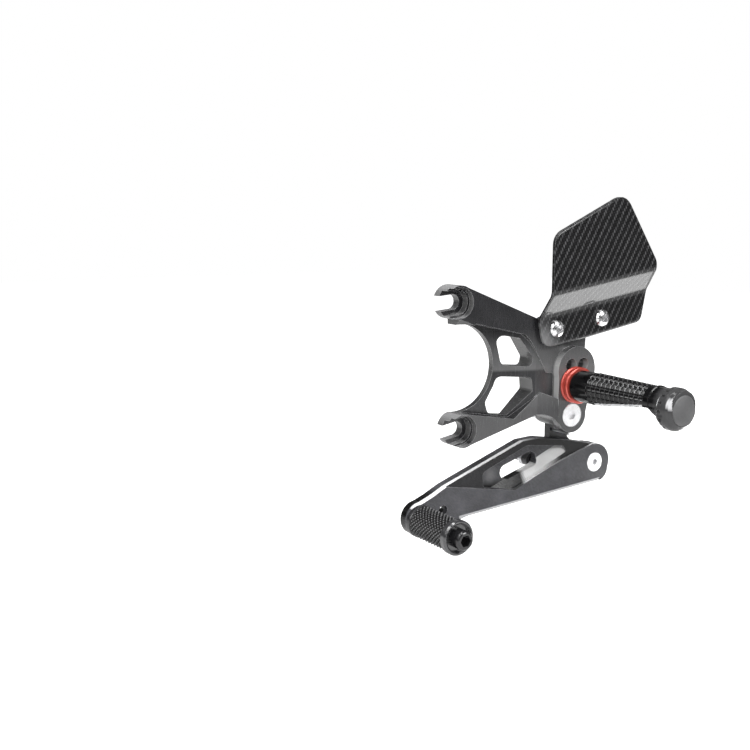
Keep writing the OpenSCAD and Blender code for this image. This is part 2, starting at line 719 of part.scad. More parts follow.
module linkage_nut() {
    color([0.7, 0.7, 0.72])
    difference() {
        outboard(link, arm_in_y + 4) hex(8, 4);
        bar(link, m5_r + screw_gap, arm_in_y - 1, arm_in_y + 6);
    }
}

module stop_pin() {
    color([0.6, 0.6, 0.62]) bar([pivot[0] + 2.3, pivot[1] - 13], 0.85, face_y, arm_in_y - 1.5 - side_gap);
}

module toe_collar() {
    color([0.05, 0.05, 0.055])
    outboard(toe_axis, lever_out_y)
    difference() {
        union() {
            cylinder(r = toe_r, h = toe_collar_long - 0.7);
            translate([0, 0, toe_collar_long - 0.7]) cylinder(r1 = toe_r, r2 = toe_r - 0.7, h = 0.7);
        }
        translate([0, 0, -1]) cylinder(r = m6_r + 0.2, h = toe_collar_long + 2);
    }
}

module toe_peg() {
    color([0.03, 0.03, 0.032])
    outboard(toe_axis, lever_out_y - toe_collar_long)
    difference() {
        cylinder(r = toe_r, h = knurl_long);
        translate([0, 0, -1]) cylinder(r = m6_r + 0.2, h = knurl_long + 2);
    }
}

module toe_cap() {
    color([0.05, 0.05, 0.055])
    outboard(toe_axis, lever_out_y - toe_collar_long - knurl_long)
    difference() {
        rotate_extrude() polygon([
            [0, 0], [toe_r + 0.3, 0], [toe_r + 0.6, 0.4], [toe_r + 0.6, 3.4], [toe_r - 0.2, toe_cap_long],
            [0, toe_cap_long]
        ]);
        translate([0, 0, -1]) cylinder(r = m6_r + 0.2, h = toe_cap_long + 2);
        translate([0, 0, toe_cap_long - toe_recess_deep]) cylinder(r = toe_r - 1.6, h = toe_recess_deep + 1);
        translate([0, 0, toe_cap_long - 0.7]) cylinder(r1 = toe_r - 1.7, r2 = toe_r - 0.7, h = 0.8);
    }
}

module toe_screw() {
    head_y = lever_out_y - toe_length + toe_recess_deep;
    color([0.06, 0.06, 0.065])
    difference() {
        union() {
            bar(toe_axis, m6_r, head_y - eps, lever_in_y - 0.5);
            outboard(toe_axis, head_y) {
                cylinder(r = 5.6, h = toe_head_high - 1.3);
                translate([0, 0, toe_head_high - 1.3]) cylinder(r1 = 5.6, r2 = 5, h = 0.9);
                translate([0, 0, toe_head_high - 0.4]) cylinder(r1 = 5, r2 = 4.4, h = 0.4);
            }
        }
        outboard(toe_axis, head_y) translate([0, 0, toe_head_high - 4]) hex(6, 5);
    }
}

hanger_plate();
peg_collar();
footpeg();
footpeg_end_cap();
footpeg_bolt();
footpeg_washer();
heel_guard();
guard_spacer_front();
guard_spacer_rear();
guard_screw_front();
guard_screw_rear();
pivot_bolt();
pivot_sleeve();
pivot_washer();
pivot_nut();
shift_lever();
lever_arm();
hub_bush_outer();
hub_bush_inner();
lever_bolt();
arm_screw();
linkage_stud();
linkage_nut();
stop_pin();
toe_collar();
toe_peg();
toe_cap();
toe_screw();
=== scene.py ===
"""Looks for the rear-set footrest: materials, knurled toe peg, toothed footpeg, studio and camera.

Places of objects are in metres, in the part's own frame: X rearward, Y inboard, Z up, origin on the
upper fork's bolt axis. Places inside materials, and the sizes of pegs, are in millimetres.
"""

import math

import bmesh
import bpy
from mathutils import Matrix, Vector

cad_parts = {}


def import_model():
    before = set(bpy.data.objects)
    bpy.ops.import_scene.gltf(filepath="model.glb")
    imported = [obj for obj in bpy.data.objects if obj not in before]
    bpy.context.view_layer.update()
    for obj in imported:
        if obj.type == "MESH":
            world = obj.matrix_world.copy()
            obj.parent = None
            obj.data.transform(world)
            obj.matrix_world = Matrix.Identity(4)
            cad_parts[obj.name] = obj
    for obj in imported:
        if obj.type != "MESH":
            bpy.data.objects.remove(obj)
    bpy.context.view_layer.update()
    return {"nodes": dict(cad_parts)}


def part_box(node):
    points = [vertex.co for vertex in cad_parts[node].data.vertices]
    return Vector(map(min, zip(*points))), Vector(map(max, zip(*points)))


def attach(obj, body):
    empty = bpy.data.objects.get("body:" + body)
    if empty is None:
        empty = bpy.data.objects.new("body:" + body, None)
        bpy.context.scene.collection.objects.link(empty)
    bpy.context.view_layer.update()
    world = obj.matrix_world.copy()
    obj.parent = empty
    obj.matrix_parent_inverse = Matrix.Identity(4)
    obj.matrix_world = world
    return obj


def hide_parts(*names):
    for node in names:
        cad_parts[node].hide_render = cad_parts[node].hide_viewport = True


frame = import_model()
nodes = frame["nodes"]

MM = 0.001
FULL_TURN = 2 * math.pi

# Axes along Y, as X and Z in millimetres
PEG = (82.3, -53.4)
PIVOT = (81.6, -72.5)
REAR = (111.9, -108.1)
TOE = (-23.3, -126.5)
STUD = (67.3, -103.0)
GUARD_SCREW_FRONT = (67.8, -18.2)
GUARD_SCREW_REAR = (104.1, -13.4)

toe_low, toe_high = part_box("toe_peg")
KNURL_R = (toe_high.x - toe_low.x) / 2 / MM

# Colours
WHITE = (1.0, 1.0, 1.0)
BLACK = (0.016, 0.016, 0.0175)
GLOSS_BLACK = (0.003, 0.003, 0.0033)
BLACK_STEEL = (0.012, 0.012, 0.013)
# Colour of the painted highlight on edges
EDGE_HIGHLIGHT_GREY = (0.5, 0.5, 0.51)


class Shader:
    """A short way to write the node tree of a material or of the world."""

    def __init__(self, name, world=False):
        self.owner = (bpy.data.worlds if world else bpy.data.materials).new(name)
        self.owner.use_nodes = True
        self.tree = self.owner.node_tree
        self.tree.nodes.clear()
        self.output = self.tree.nodes.new("ShaderNodeOutputWorld" if world else "ShaderNodeOutputMaterial")
        self.place = None

    def link(self, source, target):
        """Joins a socket to a target, or sets the target to a number or a colour."""
        if isinstance(source, (int, float)):
            target.default_value = source
        elif isinstance(source, tuple):
            target.default_value = source if len(source) == len(target.default_value) else (*source, 1)
        else:
            self.tree.links.new(source, target)

    def finish(self, shader):
        """Joins the last shader to the output and gives the material or the world."""
        self.link(shader, self.output.inputs["Surface"])
        return self.owner

    def node(self, kind, inputs=None, output=0, **settings):
        made = self.tree.nodes.new("ShaderNode" + kind)
        for key, value in settings.items():
            setattr(made, key, value)
        for key, value in (inputs or {}).items():
            self.link(value, made.inputs[key])
        return made.outputs[output]

    def math(self, operation, a, b=0.0, clamp=False):
        return self.node("Math", {0: a, 1: b}, operation=operation, use_clamp=clamp)

    def product(self, first, *others):
        """All values multiplied together."""
        for other in others:
            first = self.math("MULTIPLY", first, other)
        return first

    def vector(self, operation, a, b, output=0):
        return self.node("VectorMath", {0: a, 1: b}, output=output, operation=operation)

    def times(self, colour, factor):
        """A colour or a place made larger by a factor."""
        return self.node("VectorMath", {0: colour, 3: factor}, operation="SCALE")

    def grey(self, value):
        return self.node("CombineXYZ", {0: value, 1: value, 2: value})

    def mix(self, factor, a, b):
        """A colour blended from a to b."""
        made = self.tree.nodes.new("ShaderNodeMix")
        made.data_type = "RGBA"
        self.link(factor, made.inputs[0])
        self.link(a, made.inputs[6])
        self.link(b, made.inputs[7])
        return made.outputs[2]

    def blend(self, factor, a, b):
        """A number blended from a to b."""
        return self.node("Mix", {0: factor, 2: a, 3: b}, data_type="FLOAT")

    def between(self, value, low, high, low_out=0.0, high_out=1.0, smooth=False):
        """A value's span stretched to another span and held at its ends."""
        kind = "SMOOTHSTEP" if smooth else "LINEAR"
        return self.node("MapRange", {"Value": value, "From Min": low, "From Max": high,
                                      "To Min": low_out, "To Max": high_out}, interpolation_type=kind)

    def coordinates(self):
        """Places on the object in millimetres."""
        if self.place is None:
            raw = self.node("TexCoord", output=3)
            self.place = self.times(raw, 1 / MM)
        return self.place

    def axes(self, place=None):
        """The X, Y and Z of a place in millimetres."""
        split = self.tree.nodes.new("ShaderNodeSeparateXYZ")
        self.link(place or self.coordinates(), split.inputs[0])
        return tuple(split.outputs)

    def scaled(self, sx, sy, sz, turn=(0.0, 0.0, 0.0)):
        """The places stretched along each axis, after a turn in degrees."""
        turned_place = self.node("Mapping", {"Vector": self.coordinates(),
                                             "Rotation": tuple(math.radians(a) for a in turn)})
        return self.node("Mapping", {"Vector": turned_place, "Scale": (sx, sy, sz)})

    def distance(self, x, z):
        """How far a place lies from an axis along Y."""
        away = self.vector("SUBTRACT", self.coordinates(), (x, 0.0, z))
        flat = self.vector("MULTIPLY", away, (1.0, 0.0, 1.0))
        return self.node("VectorMath", {0: flat}, output=1, operation="LENGTH")

    def blob(self, x, z, radius):
        """One at a point in X and Z, fading to zero at a radius."""
        return self.between(self.distance(x, z), radius, 0.0, smooth=True)

    def facing(self, direction, low, high):
        """Near one on faces that look along a direction of the piece itself, at any pose."""
        face = self.node("VectorTransform", {0: self.node("NewGeometry", output=3)}, vector_type="NORMAL",
                         convert_from="WORLD", convert_to="OBJECT")
        way = tuple(Vector(direction).normalized())
        return self.between(self.vector("DOT_PRODUCT", face, way, output=1), low, high)

    def noise(self, vector, scale, detail=3.0, rough=0.5):
        return self.node("TexNoise", {"Vector": vector, "Scale": scale, "Detail": detail, "Roughness": rough})

    def spread(self, noise, low_out=0.0, high_out=1.0):
        """The usual span of a noise stretched to another span."""
        return self.between(noise, 0.3, 0.7, low_out, high_out)

    def rounded(self, radius, samples=6):
        """The normal over edges rounded by a radius."""
        return self.node("Bevel", {"Radius": radius * MM}, samples=samples)

    def edge(self, radius):
        """Near one on convex and concave edges, and zero on plain faces."""
        least, most = 0.02, 0.25
        flat = self.node("NewGeometry", output=1)
        same = self.vector("DOT_PRODUCT", self.rounded(radius), flat, output=1)
        return self.between(same, 1 - least, 1 - most)

    def bump(self, height, strength, distance, normal):
        return self.node("Bump", {"Height": height, "Strength": strength, "Distance": distance * MM,
                                  "Normal": normal})

    def surface(self, **inputs):
        """The principled surface, with its inputs named as here_and_there for Here And There."""
        names = {key.replace("_", " ").title().replace("Ior", "IOR"): value for key, value in inputs.items()}
        return self.finish(self.node("BsdfPrincipled", names))


def machined(name, colour, rough, lines=(1, 1, 1), turn=(0, 0, 0), depth=0.05, most_edge_highlight=0.6,
             metallic=0.0, specular=0.5, edge_highlight_colour=EDGE_HIGHLIGHT_GREY, edge_width=0.22, tint=0.25, painted_light=None):
    """Anodised or bare machined metal: cutter lines, faint cloudy tone and edges painted lighter as a painted
    highlight.

    Lines tells how dense the cutter lines are along each axis. A function given last may paint light and
    shade over the base colour.
    """
    cloud_scale, patch_scale, speck_scale = 0.09, 0.35, 2.2
    least_edge_highlight = 0.35
    smoother, rougher, speckled = 0.05, 0.07, 0.02
    s = Shader(name)
    fine = s.noise(s.scaled(*lines, turn=turn), 1.0, 2.0, 0.6)
    cloud = s.noise(s.coordinates(), cloud_scale, 3.0, 0.55)
    patch = s.between(s.noise(s.coordinates(), patch_scale, 3.0, 0.6), 0.35, 0.65)
    speck = s.noise(s.coordinates(), speck_scale, 2.0, 0.6)
    # Edges painted lighter: a painted highlight.
    edge_highlight = s.product(s.edge(edge_width), s.between(patch, 0.0, 1.0, least_edge_highlight, most_edge_highlight))
    base = s.times(tuple(colour), s.spread(cloud, 1 - tint, 1 + tint))
    # Painted light and shade over the base colour.
    if painted_light:
        base = painted_light(s, base)
    roughness = s.math("ADD", s.spread(fine, rough - smoother, rough + rougher),
                       s.spread(speck, -speckled, speckled))
    height = s.math("ADD", fine, s.product(speck, 0.3))
    return s.surface(base_color=s.mix(edge_highlight, base, edge_highlight_colour), roughness=roughness, metallic=metallic,
                     specular_ior_level=specular, normal=s.bump(height, 0.6, depth, s.rounded(0.25)))


def turned(name, colour, rough, centre, metallic=1.0, rings=9.0, specular=0.5):
    """Turned metal: fine rings about an axis along Y through a centre in X and Z."""
    s = Shader(name)
    along = s.axes()[1]
    ring = s.node("CombineXYZ", {0: s.product(s.distance(*centre), rings), 1: s.product(along, rings)})
    fine = s.noise(ring, 1.0, 2.0, 0.6)
    cloud = s.noise(s.coordinates(), 0.5, 3.0, 0.6)
    return s.surface(base_color=s.times(tuple(colour), s.spread(cloud, 0.88, 1.08)),
                     roughness=s.spread(fine, rough - 0.05, rough + 0.08), metallic=metallic,
                     specular_ior_level=specular, normal=s.bump(fine, 0.5, 0.02, s.rounded(0.2)))


def plate_painted_light(s, base):
    """Painted reflections: tone in place of what the plate mirrors.

    The lower arm, the fork tops and the forward walls are lighter, and the web is darker.
    """
    arm_starts, arm_fades, arm_tone = (-18.0, -42.0), (-50.0, -68.0), 0.085
    web_floor, below_spoke, web_dark = (-13.7, -13.0), (-42.5, -44.0), 0.92
    fork_region, fork_grey = (8.0, 2.0), (0.2, 0.2, 0.203)
    pad_starts, deep_wall, pad_wall = (-14.0, -15.0), 0.1, 0.34
    fork_way, forward = (-0.5, 0.0, 0.85), (-1.0, 0.0, 0.0)
    x, y, z = s.axes()
    in_web = s.product(s.between(y, *web_floor), s.between(z, *below_spoke, 0.0, web_dark))
    lighter = s.product(s.between(z, *arm_starts, 0.0, arm_tone), s.between(z, *arm_fades, 1.0, 0.3),
                        s.math("SUBTRACT", 1.0, in_web))
    base = s.vector("ADD", base, s.grey(lighter))
    fork_top = s.product(s.facing(fork_way, 0.5, 0.9), s.between(x, *fork_region))
    base = s.mix(fork_top, base, fork_grey)
    wall = s.facing(forward, 0.55, 0.95)
    return s.mix(wall, base, s.grey(s.between(y, *pad_starts, deep_wall, pad_wall)))


def peg_painted_light(s, base):
    """Knob painted grey as a painted reflection, and painted highlights on its bevel and on the teeth's rims.

    The mesh's attribute tells how light each rim is.
    """
    knob_starts, bevel_way = (-92.0, -96.0), (-0.62, -0.72, 0.3)
    knob_reflection_grey, knob_highlight, rim_light = (0.04, 0.04, 0.041), (0.5, 0.5, 0.51), (0.6, 0.6, 0.61)
    rim = s.node("Attribute", output=2, attribute_name="rim")
    knob = s.between(s.axes()[1], *knob_starts)
    # Knob painted grey: a painted reflection.
    base = s.mix(knob, base, knob_reflection_grey)
    patch = s.product(knob, s.facing(bevel_way, 0.96, 0.99))
    return s.mix(rim, s.mix(patch, base, knob_highlight), rim_light)


def lever_faces(s, base, facet, pocket):
    """Painted shade and highlights on the lever's outer face, its hatched upper facet and its pocket's floor.
    """
    hatch_pitch, hatch_dark, hatch_light = 5.2, 0.7, 1.15
    lift, pocket_tone, corner_shade_dark = 4.2, 0.75, 0.72
    facet_length, face_length = (0.0, 70.0), (60.0, 100.0)
    corner_top, corner_rear = (-110.0, -114.0), (54.0, 50.0)
    glow_centre, glow_r, glow_grey = (31.0, -107.0), 8.0, (0.16, 0.16, 0.165)
    x, _, z = s.axes()
    wave = s.math("SINE", s.product(s.math("ADD", x, z), hatch_pitch))
    hatch = s.between(wave, -1.0, 1.0, hatch_dark, hatch_light)
    # Upper facet painted dark, darkest toward the rear, as a painted reflection.
    facet_tone = s.product(hatch, s.between(x, *facet_length, 0.3, 0.02))
    face_tone = s.between(x, *face_length, 1.0, 0.7)
    # Lower front corner of the pocket floor painted dark: a painted shadow.
    corner_shade = s.product(s.between(z, *corner_top), s.between(x, *corner_rear))
    floor_tone = s.math("SUBTRACT", pocket_tone, s.product(corner_shade, corner_shade_dark))
    tone = s.blend(pocket, s.blend(facet, face_tone, facet_tone), floor_tone)
    # Painted highlight near the pocket's front end.
    glow = s.product(s.blob(*glow_centre, glow_r), pocket, 0.7)
    return s.mix(glow, s.times(base, s.product(tone, lift)), glow_grey)


def lever_ramp(s, base, facet):
    """The pocket's ramp as a painted reflection, bright with cutter marks, with painted shade at its front
    end.
    """
    cutter_pitch, cutter_lean = 4.4, 0.35
    dull, bright = 0.36, 0.8
    fades_to_rear, dark_front = (60.0, 92.0), (53.0, 56.5)
    ramp_way, wall_way = (-0.20, -0.854, 0.481), (-0.38, 0.0, 0.92)
    wall_centre, wall_r, wall_top = (62.0, -109.0), 60.0, (-96.0, -99.0)
    rim_start, rim_slope, rim_width = (46.9, -117.2), 0.3725, (3.4, 2.8)
    rim_front, rim_rear = (46.5, 49.0), (84.0, 72.0)
    x, _, z = s.axes()
    wave = s.math("SINE", s.product(s.math("ADD", x, s.product(z, cutter_lean)), cutter_pitch))
    wave = s.math("ADD", wave, s.spread(s.noise(s.coordinates(), 0.8, 3.0), -0.6, 0.6))
    lit = s.product(s.between(wave, -1.3, 1.3, dull, bright), s.between(x, *fades_to_rear, 1.0, 0.35),
                    s.between(x, *dark_front))
    ramp = s.facing(ramp_way, 0.9, 0.96)
    lower_wall = s.product(s.facing(wall_way, 0.9, 0.97), s.blob(*wall_centre, wall_r))
    lower_wall = s.product(s.math("MULTIPLY", lower_wall, 2.0, clamp=True), s.between(z, *wall_top))
    rim_z = s.product(s.math("SUBTRACT", x, rim_start[0]), rim_slope)
    above_rim = s.math("SUBTRACT", s.math("SUBTRACT", z, rim_start[1]), rim_z)
    strip = s.product(facet, s.between(above_rim, *rim_width), s.between(x, *rim_front),
                      s.between(x, *rim_rear))
    region = s.math("MAXIMUM", ramp, s.math("MAXIMUM", lower_wall, strip))
    return s.mix(region, base, s.grey(lit))


def lever_edges(s, base, depth):
    """Painted highlights: bright lines along the lever's top side, round its rear end and under its face."""
    line_light, rear_light = (0.85, 0.85, 0.86), (0.7, 0.7, 0.71)
    top_way, up, under_way = (-0.34, 0.0, 0.94), (0.0, 0.0, 1.0), (0.08, -0.81, -0.58)
    top_slope, top_starts, top_deep, top_front = 0.36, (-113.0, -111.0), (4.4, 3.8), (64.0, 52.0)
    rear_starts, rear_deep = (103.0, 108.0), (3.4, 2.8)
    x, _, z = s.axes()
    height = s.math("SUBTRACT", z, s.product(x, top_slope))
    top = s.product(s.facing(top_way, 0.9, 0.95), s.between(height, *top_starts),
                    s.between(depth, *top_deep), s.between(x, *top_front))
    base = s.mix(top, base, line_light)
    rear = s.product(s.facing(up, 0.3, 0.8), s.between(x, *rear_starts), s.between(depth, *rear_deep), 0.8)
    base = s.mix(rear, base, rear_light)
    return s.mix(s.facing(under_way, 0.93, 0.97), base, EDGE_HIGHLIGHT_GREY)


def lever_painted_light(s, base):
    """All painted shade and highlights of the lever, by how deep a place lies under its outer face."""
    face_y = -8.0
    facet_starts, facet_ends, pocket_starts = (0.9, 1.1), (1.5, 1.3), (4.0, 4.8)
    depth = s.math("SUBTRACT", s.axes()[1], face_y)
    facet = s.product(s.between(depth, *facet_starts), s.between(depth, *facet_ends))
    pocket = s.between(depth, *pocket_starts)
    base = lever_faces(s, base, facet, pocket)
    base = lever_ramp(s, base, facet)
    return lever_edges(s, base, depth)


def carbon_weave(name):
    """Two-by-two twill under clear lacquer, with a light cut edge and a painted highlight along each tow's
    crown, weaker on the weft.

    A patch painted at the lower corner stands in for a reflection.
    """
    tow, lean = 1.5, 14.0
    fibre_glint_grey, matrix, weft_glint_share = (0.09, 0.09, 0.093), (0.0015, 0.0015, 0.0017), 0.16
    corner_centre, corner_r, corner_reflection_grey = (58.0, -27.0), 18.0, (0.22, 0.22, 0.223)
    edge_wide, edge_grey, lacquer_r = 0.45, (0.2, 0.2, 0.205), 3.0
    s = Shader(name)
    cloth = s.node("Mapping", {"Vector": s.coordinates(), "Rotation": (0.0, math.radians(lean), 0.0)})
    cloth_x, _, cloth_z = s.axes(cloth)
    x = s.math("DIVIDE", cloth_x, tow)
    z = s.math("DIVIDE", cloth_z, tow)
    step = s.math("FLOORED_MODULO", s.math("SUBTRACT", s.math("FLOOR", x), s.math("FLOOR", z)), 4.0)
    warp_up = s.math("LESS_THAN", step, 2.0)
    in_x = s.math("FRACT", x)
    in_z = s.math("FRACT", z)
    along_warp = s.product(s.math("ADD", in_z, s.math("SUBTRACT", 1.0, step)), 0.5)
    along_weft = s.product(s.math("ADD", in_x, s.math("SUBTRACT", step, 2.0)), 0.5)
    rises = []
    for value in (s.blend(warp_up, along_weft, along_warp), s.blend(warp_up, in_z, in_x)):
        centred = s.product(s.math("SUBTRACT", value, 0.5), 2.0)
        rises.append(s.math("SUBTRACT", 1.0, s.product(centred, centred)))
    crown = s.math("MULTIPLY", *rises, clamp=True)
    threads = [s.noise(s.node("Mapping", {"Vector": cloth, "Scale": scale}), 1.0, 2.0)
               for scale in ((0.4, 1.0, 9.0), (9.0, 1.0, 0.4))]
    thread = s.blend(warp_up, *threads)
    patch = s.spread(s.noise(s.coordinates(), 0.5, 2.0), 0.5, 1.4)
    # Painted highlight along each tow's crown, weaker on the weft tows.
    glint = s.product(s.between(thread, 0.3, 0.6, 0.5, 1.0), crown, patch)
    woven = s.mix(s.product(glint, s.blend(warp_up, weft_glint_share, 1.0)), matrix, fibre_glint_grey)
    woven = s.mix(s.product(s.blob(*corner_centre, corner_r), 0.7), woven, corner_reflection_grey)
    colour = s.mix(s.product(s.edge(edge_wide), 0.7), woven, edge_grey)
    height = s.math("ADD", s.product(thread, 0.15), crown)
    return s.surface(base_color=colour, roughness=s.spread(thread, 0.32, 0.5), specular_ior_level=0.08,
                     normal=s.bump(height, 0.7, 0.1, s.rounded(0.25)),
                     coat_weight=0.7, coat_roughness=0.06, coat_ior=1.45,
                     coat_normal=s.bump(height, 0.25, 0.02, s.rounded(lacquer_r, samples=8)))


def knurl_black():
    """Black knurl whose tips are painted lighter as painted highlights and whose grooves are painted near
    black as painted shade.
    """
    groove_shade_black, tip_highlight_grey = (0.002, 0.002, 0.0023), (0.19, 0.19, 0.194)
    s = Shader("knurled_black")
    tip_highlight = s.between(s.distance(*TOE), KNURL_R - 0.28, KNURL_R - 0.02)
    uneven = s.spread(s.noise(s.coordinates(), 0.6, 3.0), 0.45, 1.0)
    grain = s.noise(s.coordinates(), 3.0, 2.0)
    return s.surface(base_color=s.mix(s.product(tip_highlight, uneven), groove_shade_black, tip_highlight_grey),
                     roughness=s.spread(grain, 0.22, 0.34), specular_ior_level=0.3,
                     normal=s.bump(grain, 0.4, 0.02, s.rounded(0.1)))


def stainless(name, centre, grey=0.78, rough=0.2):
    return turned(name, (grey, grey, grey + 0.01), rough, centre)


spacer_black = machined("anodised_spacer", BLACK, 0.35, lines=(3.0, 3.0, 3.0))
bronze = turned("bronze_bush", (0.5, 0.3, 0.12), 0.3, PIVOT)
plated_steel = machined("plated_steel", (0.55, 0.55, 0.57), 0.3, lines=(3.0, 3.0, 3.0), metallic=1.0,
                        edge_highlight_colour=(0.7, 0.7, 0.72), tint=0.1)

# Materials of the pieces that aren't plated steel
FINISHES = {
    "hanger_plate": machined("anodised_plate", BLACK, 0.22, lines=(5.0, 0.15, 0.12), depth=0.02,
                             specular=0.62, edge_width=0.45, most_edge_highlight=0.8, painted_light=plate_painted_light),
    "shift_lever": machined("anodised_lever", BLACK, 0.26, lines=(5.0, 0.15, 0.4), turn=(0, 50, 0),
                            depth=0.02, specular=0.25, edge_width=0.45, most_edge_highlight=0.8, painted_light=lever_painted_light),
    "lever_arm": machined("anodised_arm", BLACK, 0.28, lines=(0.4, 0.15, 5.0), depth=0.02, specular=0.45),
    "guard_spacer_front": spacer_black,
    "guard_spacer_rear": spacer_black,
    "heel_guard": carbon_weave("carbon_twill"),
    "footpeg_end_cap": machined("grey_disc", (0.09, 0.09, 0.092), 0.6, lines=(4.0, 4.0, 4.0), depth=0.06,
                                most_edge_highlight=0.2),
    "peg_collar": turned("anodised_red", (0.5, 0.07, 0.05), 0.2, PEG, metallic=0.45, rings=6.0,
                         specular=1.0),
    "toe_collar": turned("anodised_toe_collar", BLACK, 0.25, TOE, metallic=0.0),
    "toe_cap": turned("anodised_toe_cap", (0.03, 0.03, 0.032), 0.14, TOE, metallic=0.0, specular=1.0),
    "toe_screw": turned("black_steel", BLACK_STEEL, 0.16, TOE, metallic=0.2, specular=0.7),
    "linkage_stud": turned("black_stud", BLACK_STEEL, 0.2, STUD, metallic=0.2),
    "hub_bush_outer": bronze,
    "hub_bush_inner": bronze,
    "guard_screw_front": stainless("stainless_front", GUARD_SCREW_FRONT),
    "guard_screw_rear": stainless("stainless_rear", GUARD_SCREW_REAR),
    "pivot_bolt": stainless("stainless_pivot", PIVOT, grey=0.82, rough=0.28),
    "lever_bolt": stainless("stainless_lever", REAR, grey=0.82, rough=0.28),
}
for name, node in nodes.items():
    node.data.materials.clear()
    node.data.materials.append(FINISHES.get(name, plated_steel))


def loft(name, rings, painted_light=None):
    """A mesh through closed rings of points, each with as many points as the first."""
    mesh = bmesh.new()
    loops = [[mesh.verts.new(point) for point in ring] for ring in rings]
    for first, second in zip(loops, loops[1:]):
        for i in range(len(first)):
            k = (i + 1) % len(first)
            mesh.faces.new((first[i], first[k], second[k], second[i]))
    bmesh.ops.recalc_face_normals(mesh, faces=mesh.faces)
    data = bpy.data.meshes.new(name)
    mesh.to_mesh(data)
    mesh.free()
    # Per-point amounts of painted highlight, kept as an attribute.
    if painted_light:
        rim = data.attributes.new("rim", "FLOAT", "POINT")
        rim.data.foreach_set("value", painted_light)
    made = bpy.data.objects.new(name, data)
    bpy.context.scene.collection.objects.link(made)
    return made


def triangle_wave(value):
    """One at whole numbers and zero half-way between them."""
    return abs(value % 1.0 - 0.5) * 2


def held(value):
    """A value kept between zero and one."""
    return max(0.0, min(1.0, value))


def broken_line(value, points):
    """The height of a broken line at a place along it."""
    for (a, low), (b, high) in zip(points, points[1:]):
        if value <= b:
            return low + (high - low) * max(0.0, (value - a) / (b - a))
    return points[-1][1]


def knurled_sleeve():
    """The toe peg's sleeve with real diamond knurl between two plain bands."""
    bore_r, deep, band = 3.2 * MM, 0.9 * MM, 0.8 * MM
    land = 0.35
    starts, lead = 24, 2.3 * math.pi * KNURL_R * MM
    turns, steps = 264, 110
    low, high = toe_low, toe_high
    centre = (low + high) / 2

    def ring(y, radius):
        points = []
        for i in range(turns):
            angle = FULL_TURN * i / turns
            r = radius(angle)
            points.append((centre.x + r * math.cos(angle), y, centre.z + r * math.sin(angle)))
        return points

    def knurl(y):
        fade = min(1.0, (y - low.y) / band, (high.y - y) / band)

        def radius(angle):
            share = angle / FULL_TURN
            crossing = max(triangle_wave(starts * (share + y / lead)),
                           triangle_wave(starts * (share - y / lead)))
            groove = max(0.0, (crossing - land) / (1 - land))
            return KNURL_R * MM - deep * (groove * fade + land * (1 - fade))

        return ring(y, radius)

    rings = [ring(low.y, lambda angle: bore_r)]
    rings += [knurl(low.y + (high.y - low.y) * j / steps) for j in range(steps + 1)]
    rings += [ring(high.y, lambda angle: bore_r)]
    sleeve = loft("knurled_sleeve", rings)
    sleeve.data.materials.append(knurl_black())
    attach(sleeve, "lever_unit")
    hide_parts("toe_peg")


